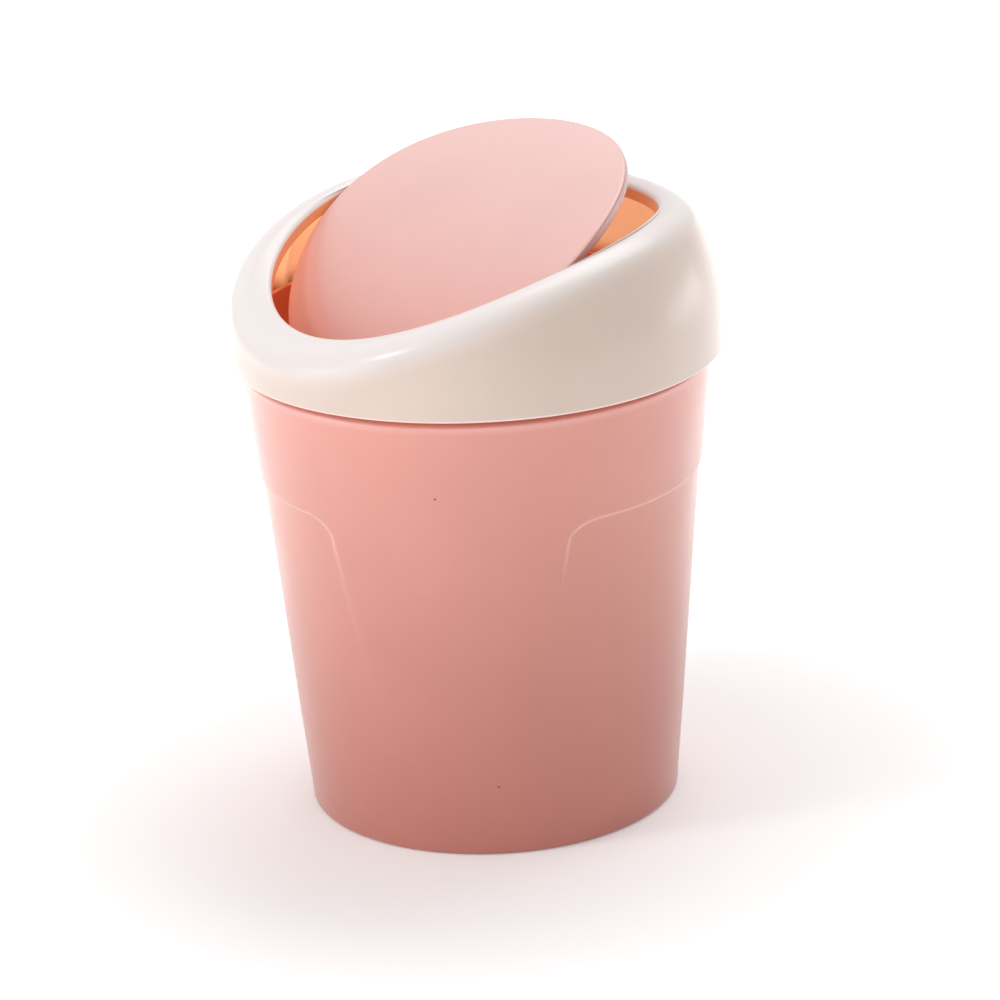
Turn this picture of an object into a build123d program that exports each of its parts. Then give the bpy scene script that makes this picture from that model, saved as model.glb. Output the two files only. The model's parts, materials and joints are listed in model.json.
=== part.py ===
"""Countertop swing-lid bin: a bucket, a lift-off collar and a swinging flap.

Millimetres, +Z up, origin at the centre of the foot, front towards -Y.
The flap is exported part-open, at rest_angle from closed.
"""

import os
from math import cos, radians, sin

from build123d import *

os.makedirs("parts", exist_ok=True)

# Bucket: outside shape
foot_radius = 50.1
foot_round = 1.4
waist_radius = 55.9
waist_height = 60.0
shoulder_radius = 62.6
shoulder_height = 124.3
shoulder_round = 1.5
shoulder_ledge = 1.8
neck_radius = shoulder_radius - shoulder_ledge

# Bucket: inside and underside
wall = 2.0
neck_wall = 1.6
neck_taper_drop = 5.0
floor_thickness = 2.2
floor_round = 4.0
foot_recess_depth = 1.2
foot_ring_width = 6.1

# Bucket: two shallow grip panels; bearing of the first from -Y towards +X
grip_bearing = -46.75
grip_half_width = 49.8
grip_top = 94.0
grip_bottom = 25.0
grip_depth = 0.5
grip_corner = 4.0

# Collar: outer wall, an arc in section that leans back
collar_gap = 1.4
collar_bottom = shoulder_height + collar_gap
collar_overhang = 3.3
collar_bulge_radius = shoulder_radius + collar_overhang
collar_bulge_rise = 5.3
collar_arc = 65.0
collar_arc_below = 25.0
collar_arc_above = 40.0
collar_lean = 4.0
collar_wall = 1.8
collar_edge_bevel = 0.5

# Collar: crest, its level lines sagging across X and falling towards the front
crest_rise = 26.0
crest_centre = collar_bottom + crest_rise
crest_fall = 0.197
crest_sag = 0.0036
crest_round = 6.5

# The bucket's neck ends this far under the collar's low front
neck_gap = 1.8
neck_height = crest_centre - crest_fall * neck_radius - collar_wall - neck_gap

# Mouth in the crest, its lip turned down
crest_land = 5.5
mouth_forward = 2.6
mouth_radius = collar_bulge_radius - crest_round - crest_land - mouth_forward
mouth_round = 2.0
lip_depth = 4.0
lip_wall = 1.8

# Seat ribs inside the collar, which hook over the neck's rim
rib_count = 8
rib_thickness = 1.6
rib_rise = 2.2
rib_reach = 1.2
rib_hook = 3.0
rib_slope_run = 3.0
rib_slope_rise = 9.0
neck_clearance = 0.08

# Hinge
hinge_drop = 3.2
hinge_height = crest_centre - hinge_drop
rest_angle = 22.4
open_angle = 67.4
pin_radius = 2.0
pin_clearance = 0.08
pin_proud = 0.3
pin_reach = mouth_radius + lip_wall + pin_proud
bore_overrun = 3.0
tab_half_width = 12.5
tab_drop = 6.5
tab_bottom = hinge_height - tab_drop
tab_corner = 3.0
stop_radius = 1.2
stop_clearance = 0.1
stop_lever = 8.0

# Flap
flap_gap = 1.05
flap_radius = mouth_radius - flap_gap
flap_rise = 13.6
flap_top = hinge_height + flap_rise
flap_fall = 0.178
flap_bow = 0.0033
flap_plate = 1.8
flap_rim = 2.8
flap_rim_width = 1.6
flap_edge_round = 0.8
ear_setback = 1.85
ear_outer = flap_radius - ear_setback
ear_thickness = 1.8
ear_half_width = 6.0

# Construction blocks reach past the whole bin
block_half = 1.2 * collar_bulge_radius
block_top = 2 * crest_centre


def flap_line(y, drop=0.0):
    """Height of the closed flap's top face at y, lowered by drop."""
    return flap_top + flap_fall * y - flap_bow * y * y - drop


def crest_line(x, drop=0.0):
    """Height of the crest over the middle section at x, lowered by drop."""
    return crest_centre + crest_sag * x * x - drop


def below_crest(drop):
    """A block whose top is the crest surface lowered by drop."""
    with BuildPart() as block:
        with BuildSketch(Plane.XZ.offset(block_half)):
            front_fall = crest_fall * block_half
            with BuildLine():
                crest = ThreePointArc(
                    (-block_half, crest_line(block_half, drop) - front_fall),
                    (0, crest_line(0, drop) - front_fall),
                    (block_half, crest_line(block_half, drop) - front_fall),
                )
                Polyline(
                    crest @ 1,
                    (block_half, 0),
                    (-block_half, 0),
                    crest @ 0,
                )
            make_face()
        extrude(amount=2 * block_half, dir=(0, 1, crest_fall))
    return block.part


def collar_blank(inset):
    """The collar's outer shape as a solid, drawn in by inset on every side."""
    arc_radius = collar_arc - inset
    arc_centre = collar_bulge_radius - collar_arc
    lean = radians(collar_lean)
    wall_plane = Plane(
        origin=(0, 0, collar_bottom),
        x_dir=(1, 0, 0),
        z_dir=(0, -cos(lean), sin(lean)),
    )
    with BuildPart() as blank:
        with BuildSketch(wall_plane):
            with BuildLine():
                side = CenterArc(
                    (arc_centre, collar_bulge_rise),
                    arc_radius,
                    -collar_arc_below,
                    collar_arc_below + collar_arc_above,
                )
                Polyline(
                    side @ 1,
                    (0, (side @ 1).Y),
                    (0, (side @ 0).Y),
                    side @ 0,
                )
            make_face()
        revolve(axis=Axis(wall_plane.origin, wall_plane.y_dir))
        add(below_crest(inset), mode=Mode.INTERSECT)
        top_edge = blank.faces().sort_by(Axis.Z)[-1].edges()
        fillet(top_edge, radius=crest_round - inset)
        split(bisect_by=Plane.XY.offset(collar_bottom), keep=Keep.TOP)
    return blank.part


# --- bucket -------------------------------------------------------------

grip_turn = radians(grip_bearing)
grip_plane = Plane(
    origin=(0, 0, 0),
    x_dir=(cos(grip_turn), sin(grip_turn), 0),
    z_dir=(sin(grip_turn), -cos(grip_turn), 0),
)

# What the two grip panels take away: a slot through the bucket less its core
with BuildPart() as grip_cutter:
    with BuildSketch(grip_plane) as grip_outline:
        with Locations((0, (grip_top + grip_bottom) / 2)):
            Rectangle(2 * grip_half_width, grip_top - grip_bottom)
        fillet(grip_outline.vertices().group_by(Axis.Y)[-1], radius=grip_corner)
    extrude(amount=2 * shoulder_radius, both=True)
    # the core's side runs in from the bucket's, the more the higher, so the panels fade out downwards
    with BuildSketch(Plane.XZ):
        with BuildLine():
            panel = ThreePointArc(
                (foot_radius, 0),
                (waist_radius - grip_depth / 2, waist_height),
                (shoulder_radius - 1.5 * grip_depth, shoulder_height),
            )
            Polyline(panel @ 1, (0, shoulder_height), (0, 0), panel @ 0)
        make_face()
    revolve(axis=Axis.Z, mode=Mode.SUBTRACT)

with BuildPart() as bucket:
    with BuildSketch(Plane.XZ) as outline:
        with BuildLine():
            side = ThreePointArc(
                (foot_radius, 0),
                (waist_radius, waist_height),
                (shoulder_radius, shoulder_height),
            )
            Polyline(
                side @ 1,
                (neck_radius, shoulder_height),
                (neck_radius, neck_height),
                (0, neck_height),
                (0, 0),
                side @ 0,
            )
        make_face()
        foot_corner = outline.vertices().group_by(Axis.Y)[0].sort_by(Axis.X)[-1]
        fillet(foot_corner, radius=foot_round)
        shoulder_corner = outline.vertices().sort_by(Axis.X)[-1]
        fillet(shoulder_corner, radius=shoulder_round)
    revolve(axis=Axis.Z)
    add(grip_cutter.part, mode=Mode.SUBTRACT)
    # hollow inside, a straight neck over the tapered body
    with BuildSketch(Plane.XZ) as hollow:
        inner_floor = foot_recess_depth + floor_thickness
        neck_inner = neck_radius - neck_wall
        with BuildLine():
            inner_side = ThreePointArc(
                (foot_radius - wall, inner_floor),
                (waist_radius - wall, waist_height),
                (neck_inner, shoulder_height - neck_taper_drop),
            )
            Polyline(
                inner_side @ 1,
                (neck_inner, neck_height),
                (0, neck_height),
                (0, inner_floor),
                inner_side @ 0,
            )
        make_face()
        floor_corner = hollow.vertices().group_by(Axis.Y)[0].sort_by(Axis.X)[-1]
        fillet(floor_corner, radius=floor_round)
    revolve(axis=Axis.Z, mode=Mode.SUBTRACT)
    with BuildSketch(Plane.XY):
        Circle(foot_radius - foot_ring_width)
    extrude(amount=foot_recess_depth, mode=Mode.SUBTRACT)
    rim_edges = bucket.faces().sort_by(Axis.Z)[-1].edges()
    fillet(rim_edges, radius=neck_wall / 4)
bucket.part.label = "bucket"
export_step(bucket.part, "parts/bucket.step")


# --- collar -------------------------------------------------------------

# Everything below the lip, except where the two hinge tabs hang down
with BuildPart() as below_lip:
    add(below_crest(lip_depth))
    with BuildSketch(Plane.YZ) as tab_outline:
        with Locations((0, tab_bottom + block_half / 2)):
            Rectangle(2 * tab_half_width, block_half)
        fillet(tab_outline.vertices().group_by(Axis.Y)[0], radius=tab_corner)
    extrude(amount=block_half, both=True, mode=Mode.SUBTRACT)

# Wall kept round the mouth: the lip with its tabs
with BuildPart() as lip_zone:
    with BuildSketch(Plane.XY.offset(collar_bottom)):
        with Locations((0, -mouth_forward)):
            Circle(mouth_radius + lip_wall)
    extrude(amount=block_half)
    add(below_lip.part, mode=Mode.SUBTRACT)

with BuildPart() as collar_hollow:
    add(collar_blank(collar_wall))
    add(lip_zone.part, mode=Mode.SUBTRACT)

# Ribs that centre the collar on the neck and stand on its rim
with BuildPart() as seat_ribs:
    with PolarLocations(0, rib_count, start_angle=180 / rib_count):
        with Locations((shoulder_radius, 0, collar_bottom)):
            Box(shoulder_radius / 2, rib_thickness, block_top)
    with BuildSketch(Plane.XZ):
        rib_bottom = collar_bottom + rib_rise
        rib_foot = neck_radius + neck_clearance
        rib_toe = neck_radius - rib_reach
        rib_top_inner = rib_toe - rib_slope_run
        hook_top = neck_height + rib_hook
        with BuildLine():
            Polyline(
                (rib_foot, rib_bottom),
                (rib_foot, neck_height),
                (rib_toe, neck_height),
                (rib_toe, hook_top),
                (rib_top_inner, hook_top + rib_slope_rise),
                (rib_top_inner, block_top),
                (block_half, block_top),
                (block_half, rib_bottom),
                close=True,
            )
        make_face()
    revolve(axis=Axis.Z, mode=Mode.INTERSECT)
    add(collar_blank(collar_wall / 2), mode=Mode.INTERSECT)

with BuildPart() as collar:
    add(collar_blank(0))
    with BuildSketch(Plane.XY.offset(collar_bottom)):
        with Locations((0, -mouth_forward)):
            Circle(mouth_radius)
    extrude(amount=block_half, mode=Mode.SUBTRACT)
    mouth_edge = collar.faces(Select.LAST).filter_by(GeomType.CYLINDER).edges().sort_by(Axis.Z)[-1]
    fillet(mouth_edge, radius=mouth_round)
    add(collar_hollow.part, mode=Mode.SUBTRACT)
    add(seat_ribs.part)
    skirt_edge = collar.faces().sort_by(Axis.Z)[0].outer_wire().edges()
    chamfer(skirt_edge, length=collar_edge_bevel)
    # bearing holes through the tabs
    with BuildSketch(Plane.YZ):
        with Locations((0, hinge_height)):
            Circle(pin_radius + pin_clearance)
    extrude(amount=mouth_radius + lip_wall + bore_overrun, both=True, mode=Mode.SUBTRACT)
    # stop pegs: one meets the ear when closed, one when fully open
    peg_offset = ear_half_width + stop_radius + stop_clearance
    opened = radians(open_angle)
    peg_spots = [
        (peg_offset, hinge_height + stop_lever),
        (
            -peg_offset * cos(opened) - stop_lever * sin(opened),
            hinge_height - peg_offset * sin(opened) + stop_lever * cos(opened),
        ),
    ]
    for side_sign in (-1, 1):
        peg_plane = Plane.YZ.offset(side_sign * (ear_outer - ear_thickness / 2))
        with BuildSketch(peg_plane):
            with Locations(*peg_spots):
                Circle(stop_radius)
        extrude(amount=side_sign * (mouth_radius + lip_wall / 2 - ear_outer + ear_thickness / 2))
collar.part.label = "collar"
export_step(collar.part, "parts/collar.step")


# --- flap ---------------------------------------------------------------


def below_flap(drop, half_width):
    """A block whose top is the closed flap's top face lowered by drop."""
    reach = mouth_radius + 2 * mouth_forward
    with BuildPart() as block:
        with BuildSketch(Plane.YZ):
            with BuildLine():
                top = ThreePointArc(
                    (-reach, flap_line(-reach, drop)),
                    (0, flap_line(0, drop)),
                    (reach, flap_line(reach, drop)),
                )
                Polyline(top @ 1, (reach, 0), (-reach, 0), top @ 0)
            make_face()
        extrude(amount=half_width, both=True)
    return block.part


with BuildPart() as flap_pocket:
    add(below_flap(flap_plate, mouth_radius))
    with BuildSketch(Plane.XY):
        with Locations((0, -mouth_forward)):
            Circle(flap_radius - flap_rim_width)
    extrude(amount=block_top, mode=Mode.INTERSECT)

with BuildPart() as ears:
    with BuildSketch(Plane.YZ) as ear_outline:
        with Locations((0, hinge_height)):
            Circle(ear_half_width)
        with Locations((0, hinge_height + block_half / 2)):
            Rectangle(2 * ear_half_width, block_half)
    extrude(amount=ear_outer, both=True)
    with BuildSketch(Plane.YZ):
        with Locations((0, hinge_height)):
            Rectangle(block_half, block_half)
    extrude(amount=ear_outer - ear_thickness, both=True, mode=Mode.SUBTRACT)
    add(below_flap(flap_plate / 2, mouth_radius), mode=Mode.INTERSECT)

with BuildPart() as flap_closed:
    add(below_flap(0, mouth_radius))
    with BuildSketch(Plane.XY):
        with Locations((0, -mouth_forward)):
            Circle(flap_radius)
    extrude(amount=block_top, mode=Mode.INTERSECT)
    fillet(flap_closed.faces().sort_by(Axis.Z)[-1].edges(), radius=flap_edge_round)
    add(below_flap(flap_rim, mouth_radius), mode=Mode.SUBTRACT)
    add(flap_pocket.part, mode=Mode.SUBTRACT)
    add(ears.part)
    with BuildSketch(Plane.YZ):
        with Locations((0, hinge_height)):
            Circle(pin_radius)
    extrude(amount=pin_reach, both=True)
    with BuildSketch(Plane.YZ):
        with Locations((0, hinge_height)):
            Circle(2 * pin_radius)
    extrude(amount=ear_outer - ear_thickness, both=True, mode=Mode.SUBTRACT)

hinge_axis = Axis((0, 0, hinge_height), (1, 0, 0))
with BuildPart() as flap:
    add(flap_closed.part.rotate(hinge_axis, rest_angle))
flap.part.label = "flap"
export_step(flap.part, "parts/flap.step")
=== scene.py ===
"""Small swing-lid bin: a tapered bucket, a cream collar and a swinging flap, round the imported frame."""

import json
from functools import partialmethod
from math import atan2, cos, hypot, pi, radians, sin, sqrt, tan

import bmesh
import bpy
from bpy.props import FloatProperty, FloatVectorProperty, IntProperty, PointerProperty
from bpy.types import Operator, Panel, PropertyGroup
from mathutils import Matrix, Vector


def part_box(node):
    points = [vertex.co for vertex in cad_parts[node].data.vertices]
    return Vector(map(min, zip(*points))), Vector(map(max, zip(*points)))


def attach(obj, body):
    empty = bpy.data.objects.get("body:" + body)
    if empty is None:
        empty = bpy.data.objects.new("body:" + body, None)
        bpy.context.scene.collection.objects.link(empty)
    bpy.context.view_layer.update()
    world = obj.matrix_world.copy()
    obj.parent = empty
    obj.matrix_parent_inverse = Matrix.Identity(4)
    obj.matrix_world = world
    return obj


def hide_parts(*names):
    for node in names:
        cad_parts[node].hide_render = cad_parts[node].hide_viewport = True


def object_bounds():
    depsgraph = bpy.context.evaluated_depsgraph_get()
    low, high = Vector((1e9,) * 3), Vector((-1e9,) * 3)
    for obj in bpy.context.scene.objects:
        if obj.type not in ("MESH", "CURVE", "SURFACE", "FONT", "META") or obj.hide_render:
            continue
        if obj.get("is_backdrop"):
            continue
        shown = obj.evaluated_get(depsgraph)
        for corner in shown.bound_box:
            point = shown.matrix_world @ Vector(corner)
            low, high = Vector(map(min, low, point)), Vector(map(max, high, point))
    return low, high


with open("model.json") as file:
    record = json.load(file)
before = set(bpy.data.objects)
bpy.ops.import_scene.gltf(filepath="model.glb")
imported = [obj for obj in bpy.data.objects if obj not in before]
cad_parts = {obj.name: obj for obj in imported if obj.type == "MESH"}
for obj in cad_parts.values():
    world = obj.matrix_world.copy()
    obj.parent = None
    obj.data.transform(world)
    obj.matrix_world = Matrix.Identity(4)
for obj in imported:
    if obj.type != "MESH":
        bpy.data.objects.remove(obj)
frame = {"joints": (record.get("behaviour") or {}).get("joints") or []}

bl_info = {
    "name": "Swing-lid countertop bin",
    "version": (1, 0, 0),
    "blender": (4, 5, 0),
    "location": "View3D > Sidebar > Bin",
    "description": "Builds a small bin's bucket, collar and swinging flap, and the studio round them",
    "category": "Add Mesh",
}

MM = 0.001
CAD_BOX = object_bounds()
SWING_JOINT = next(joint for joint in frame["joints"] if joint["name"] == "flap_swing")
HINGE = Vector(SWING_JOINT["pos_m"])
CLOSED_ANGLE, OPEN_ANGLE = (radians(limit) for limit in SWING_JOINT["range_deg"])
RIM_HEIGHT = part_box("bucket")[1][2]
SKIRT_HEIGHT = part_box("collar")[0][2]
MERGE_DISTANCE = 0.005 * MM
SMALL_ROUND = 0.35 * MM  # along the flap's rim and in its corners
LIP_BEVEL = 0.3 * MM
EDGE_BREAK = 0.25 * MM  # on ears, pins and pegs
TAB_SIDE = 0.0002  # half the angle between the two sections at a hinge tab's side
WALL_STEPS = 12  # steps down the collar's outer wall
CAVITY_SEGMENTS = 256
BLACK = (0, 0, 0)
WHITE = (1, 1, 1)
SPECK_COLOUR = (0.20, 0.05, 0.04)
SPECK_SIZE = 0.35 * MM
# where the two specks lie on the bucket, in metres
SPECKS = ((0.0405, -0.0450, 0.1037), (0.0423, -0.0301, 0.0204))

# name and power setting of each lamp: its bearing from the camera's and its elevation in degrees,
# then its distance, its width, its height and the height that it is aimed at, in metres
LAMPS = {
    ("Left window", "window_light"): (-72, 10, 1.5, 1.0, 0.9, 0.07),
    ("Overhead", "overhead_light"): (150, 62, 1.5, 1.2, 1.0, 0.09),
    ("Front", "front_light"): (-8, 14, 1.6, 1.4, 0.9, 0.09),
    ("Rim", "rim_light"): (112, -1, 1.5, 0.8, 0.35, 0.04),
    ("Key", "key_light"): (-68, 42, 1.4, 0.22, 0.22, 0.09),
}


# --- sizes and colours a user would change ---


def length(description, default):
    """A length in metres, given in millimetres."""
    return FloatProperty(description=description, default=default * MM, unit="LENGTH", precision=5)


def angle(description, default):
    """An angle in radians."""
    return FloatProperty(description=description, default=default, unit="ROTATION", precision=5)


def number(description, default, unit="NONE"):
    """A plain number, or a power or a distance."""
    return FloatProperty(description=description, default=default, unit=unit)


def whole_number(description, default, least):
    """A whole number with a lower limit."""
    return IntProperty(description=description, default=default, min=least)


def colour(description, *default):
    """A linear colour."""
    return FloatVectorProperty(description=description, default=default, subtype="COLOR", min=0, max=1)


def labelled(settings):
    """Labels each property with its own name, before the class is registered."""
    for name, item in settings.__annotations__.items():
        item.keywords["name"] = name.replace("_", " ").capitalize()
    return settings


@labelled
class BucketSizes(PropertyGroup):
    """Sizes of the tapered bucket."""

    foot_radius: length("Outside radius where the bucket stands", 50.1)
    waist_radius: length("Outside radius at the waist height", 55.9)
    waist_height: length("Height at which the waist radius is taken", 60.0)
    shoulder_radius: length("Outside radius under the collar", 62.6)
    shoulder_height: length("Height of the shoulder", 124.3)
    shoulder_round: length("Rounding of the shoulder's edge", 1.5)
    neck_radius: length("Outside radius of the neck inside the collar", 60.8)
    neck_taper_drop: length("How far under the shoulder the straight neck starts inside", 5.0)
    neck_wall: length("Wall of the neck", 1.6)
    wall: length("Wall of the body", 2.0)
    floor_height: length("Height of the inside floor", 3.4)
    floor_round: length("Inside corner between floor and wall", 4.0)
    foot_round: length("Rounding of the foot's edge", 1.4)
    recess_radius: length("Radius of the recess under the foot", 44.0)
    recess_depth: length("Depth of the recess under the foot", 1.2)
    grip_bearing: angle("Bearing of the first grip panel, from the front towards +X", radians(-46.75))
    grip_half_width: length("Half the width of a grip panel, straight across", 49.8)
    grip_top: length("Height of the ledge over a grip panel", 94.0)
    grip_bottom: length("Height where a grip panel fades out", 25.0)
    grip_depth: length("Depth of a grip panel under its ledge", 0.6)
    grip_corner: length("Corner radius of a grip panel", 5.0)
    grip_edge: length("Width of the slope round a grip panel", 1.0)
    segments: whole_number("Steps round the bucket", 448, 32)


@labelled
class CollarSizes(PropertyGroup):
    """Sizes of the collar with the sloping mouth."""

    bulge_radius: length("Largest radius of the outer wall", 65.9)
    bulge_height: length("Height of the largest radius over the skirt", 5.3)
    wall_arc: length("Radius of the outer wall's section", 65.0)
    lean: angle("Backward lean of the outer wall", radians(4))
    wall: length("Wall of the collar", 1.8)
    crest_centre: length("Height of the crest surface over the middle", 152.4)
    crest_fall: number("Fall of the crest towards the front", 0.2)
    crest_sag: number("Rise of the crest to the sides, per metre", 3.5)
    crest_round: length("Rounding from crest to outer wall", 5.8)
    mouth_radius: length("Radius of the mouth", 51.3)
    mouth_forward: length("How far the mouth lies in front of the middle", 2.6)
    mouth_round: length("Rounding from crest to lip", 1.4)
    lip_depth: length("Depth of the lip round the mouth", 4.0)
    skirt_bevel: length("Bevel along the skirt's outer edge", 0.5)
    tab_half_width: length("Half the width of a hinge tab", 12.5)
    tab_bottom: length("How far a hinge tab reaches below the hinge", 6.5)
    tab_corner: length("Corner radius of a hinge tab", 3.0)
    pin_clearance: length("Gap round a hinge pin", 0.08)
    peg_radius: length("Radius of a stop peg", 1.2)
    peg_clearance: length("Gap between a stop peg and the ear it stops", 0.1)
    peg_lever: length("Distance from the hinge to where a peg meets an ear", 8.0)
    neck_clearance: length("Gap between seat ribs and neck", 0.08)
    rib_rise: length("Height of a rib's foot over the skirt", 2.2)
    rib_reach: length("How far a rib reaches in over the rim", 1.2)
    rib_count: whole_number("Seat ribs inside the collar", 8, 3)
    rib_thickness: length("Thickness of a seat rib", 1.6)
    segments: whole_number("Steps round the collar", 512, 32)


@labelled
class FlapSizes(PropertyGroup):
    """Sizes of the swinging flap."""

    radius: length("Plan radius of the closed flap", 50.25)
    top: length("Height of the closed flap over the hinge line", 162.03)
    fall: number("Fall of the closed flap towards the front", 0.178)
    bow: number("Downward bow to front and back, per metre", 3.3)
    plate: length("Thickness of the plate", 1.8)
    rim: length("Depth of the turned-down rim", 2.8)
    rim_width: length("Width of the rim", 1.6)
    edge_round: length("Rounding of the top edge", 0.8)
    ear_outer: length("Distance from the middle to an ear's outer face", 48.4)
    ear_thickness: length("Thickness of an ear", 1.8)
    ear_half_width: length("Half the width of an ear", 6.0)
    pin_radius: length("Radius of a hinge pin", 2.0)
    pin_reach: length("Distance from the middle to a pin's end", 53.4)
    segments: whole_number("Steps round the flap", 384, 32)


@labelled
class StageSettings(PropertyGroup):
    """Colours of the plastics, and the studio."""

    bucket_colour: colour("Pink of the bucket at the shoulder", 0.92, 0.39, 0.32)
    # painted shade: the bucket's pink darkens towards the foot
    bucket_deep: colour("Pink of the bucket towards the foot", 0.57, 0.20, 0.155)
    # painted highlight along the slope over each grip panel
    bucket_ledge: colour("Paler pink round the top of a grip panel", 0.97, 0.53, 0.455)
    # painted highlight band under the shoulder's edge, lifting the shade under the collar
    bucket_shoulder: colour("Paler pink round the shoulder's edge", 0.92, 0.46, 0.42)
    # painted shade: deep red for the bucket's pink inner wall in shade
    bucket_inside: colour("Red of the bucket's inner wall", 0.52, 0.085, 0.03)
    # painted highlight: paler cream over the crest, where light falls from above
    collar_colour: colour("Cream of the collar's crest", 0.96, 0.885, 0.86)
    collar_low: colour("Cream of the collar's outer wall", 0.86, 0.69, 0.595)
    # painted highlight: a pale line, with a painted glow, along the skirt's bevel
    collar_edge: colour("Pale line along the skirt's bevel", 0.98, 0.84, 0.78)
    # painted bounce light and shade: orange down the mouth's lip, from the pink inside
    collar_lip: colour("Warm tint down the mouth's lip", 0.70, 0.25, 0.10)
    # painted bounce light: orange on the collar's inner faces, from the pink inside
    collar_inside: colour("Warm tint of the collar's inner faces", 0.83, 0.50, 0.275)
    flap_colour: colour("Pink of the flap towards its rear edge", 0.985, 0.625, 0.585)
    # painted shade: the flap darkens towards its front edge, down in the collar
    flap_deep: colour("Pink of the flap towards its front edge", 0.79, 0.355, 0.30)
    # painted shade down the side of the rim
    flap_side: colour("Deeper pink down the side of the rim", 0.60, 0.27, 0.245)
    # painted bounce light: warm orange on the flap's underside
    flap_under: colour("Warm tint of the flap's underside", 0.86, 0.42, 0.30)
    # painted glow: emission on thin walls as a share of their colour, standing in for light through them
    inside_glow: number("Daylight that comes through the thin walls, as a share of their colour", 0.6)
    floor_colour: colour("Colour of the floor", 0.93, 0.93, 0.93)
    floor_lift: number("Light added to the floor where it is seen", 0.2)
    dome_light: number("Strength of the soft dome", 0.5)
    window_light: number("Power of the lamp at the left", 4.7, "POWER")
    overhead_light: number("Power of the lamp above, behind at the right", 7.5, "POWER")
    front_light: number("Power of the lamp by the camera", 2.4, "POWER")
    rim_light: number("Power of the lamp behind at the right", 1.9, "POWER")
    key_light: number("Power of the small lamp at the left", 2.3, "POWER")
    target_height: length("Height on the middle line that the camera is set about", 55.25)
    camera_distance: number("Distance from camera to target", 1.17, "LENGTH")
    camera_bearing: angle("Bearing of the camera round the bin", radians(53.75))
    camera_elevation: angle("Angle of the camera over the floor", 0.356460)
    camera_roll: angle("Roll about the line of sight", -0.0454576)
    camera_pan: angle("Turn aside from the target", -0.003899)
    camera_tilt: angle("Tilt from the target", -0.0218088)
    camera_lens: number("Focal length in mm on a 36 mm sensor", 154.75)


# --- small tools ---


class Nodes:
    """Adds and joins nodes in one tree, for shapes and for materials alike."""

    def __init__(self, tree):
        self.tree = tree

    def add(self, kind, inputs=None, **settings):
        """One node with its settings, and its inputs joined or set."""
        node = self.tree.nodes.new(kind)
        for key, value in settings.items():
            setattr(node, key, value)
        self.feed_all(node.inputs, inputs or {})
        return node

    def feed_all(self, sockets, values):
        """Joins or sets the sockets named in values."""
        for key, value in values.items():
            self.feed(sockets[key], value)

    def feed(self, socket, value):
        """Joins another node's output to the socket, or sets the socket."""
        if isinstance(value, bpy.types.NodeSocket):
            self.tree.links.new(value, socket)
        elif socket.type == "RGBA":
            socket.default_value = (*value, 1)
        else:
            socket.default_value = value

    def maths(self, operation, *values):
        """The result of one Math node."""
        return self.add("ShaderNodeMath", dict(enumerate(values)), operation=operation).outputs[0]

    plus = partialmethod(maths, "ADD")
    minus = partialmethod(maths, "SUBTRACT")
    times = partialmethod(maths, "MULTIPLY")

    def vectors(self, operation, *values):
        """The result of one Vector Math node: a number where it gives one, else a vector."""
        node = self.add("ShaderNodeVectorMath", dict(enumerate(values)), operation=operation)
        return next(socket for socket in node.outputs if socket.enabled)

    def parts(self, vector):
        """The outputs X, Y and Z of a vector."""
        return self.add("ShaderNodeSeparateXYZ", {0: vector}).outputs

    def here(self, output="Object"):
        """The spot on the piece that is shaded, or its Normal."""
        return self.add("ShaderNodeTexCoord").outputs[output]

    def height(self):
        """Height over the floor of the spot that is shaded."""
        return self.parts(self.here())["Z"]

    def ramp(self, value, low, high, start=0.0, end=1.0, soft=True):
        """Value carried from low..high to start..end, softly or in a straight line."""
        node = self.add(
            "ShaderNodeMapRange",
            {"Value": value, "From Min": low, "From Max": high, "To Min": start, "To Max": end},
            interpolation_type="SMOOTHSTEP" if soft else "LINEAR",
        )
        return node.outputs["Result"]

    def blend(self, factor, first, second):
        """A colour between two."""
        node = self.add("ShaderNodeMix", data_type="RGBA")
        colours = [socket for socket in node.inputs if socket.type == "RGBA"]
        self.feed_all((node.inputs["Factor"], *colours), {0: factor, 1: first, 2: second})
        return next(socket for socket in node.outputs if socket.type == "RGBA")


def new_group(name, kind, inputs, outputs):
    """A node group, its helper, and its input and output nodes. Its sockets are given by kind, by name."""
    tree = bpy.data.node_groups.new(name, kind)
    for in_out, sockets in (("INPUT", inputs), ("OUTPUT", outputs)):
        for socket, labels in sockets.items():
            for label in labels.split(", "):
                tree.interface.new_socket(name=label, in_out=in_out, socket_type="NodeSocket" + socket)
    nodes = Nodes(tree)
    return tree, nodes, nodes.add("NodeGroupInput").outputs, nodes.add("NodeGroupOutput").inputs


def group(name, make):
    """A shared node group, made once."""
    return bpy.data.node_groups.get(name) or make()


def rounded(corners, steps=6):
    """A line through (r, z, radius) corners, each rounded by its radius."""
    line = []
    for place, (r, z, radius) in enumerate(corners):
        here = Vector((r, z))
        if not radius:
            line.append(here)
            continue
        before = (Vector(corners[place - 1][:2]) - here).normalized()
        after = (Vector(corners[place + 1][:2]) - here).normalized()
        half = before.angle(after) / 2
        centre = here + (before + after).normalized() * radius / sin(half)
        start = here + before * radius / tan(half) - centre
        end = here + after * radius / tan(half) - centre
        sweep = start.angle_signed(end)
        for step in range(steps + 1):
            line.append(centre + Matrix.Rotation(-sweep * step / steps, 2) @ start)
    return line


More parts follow.
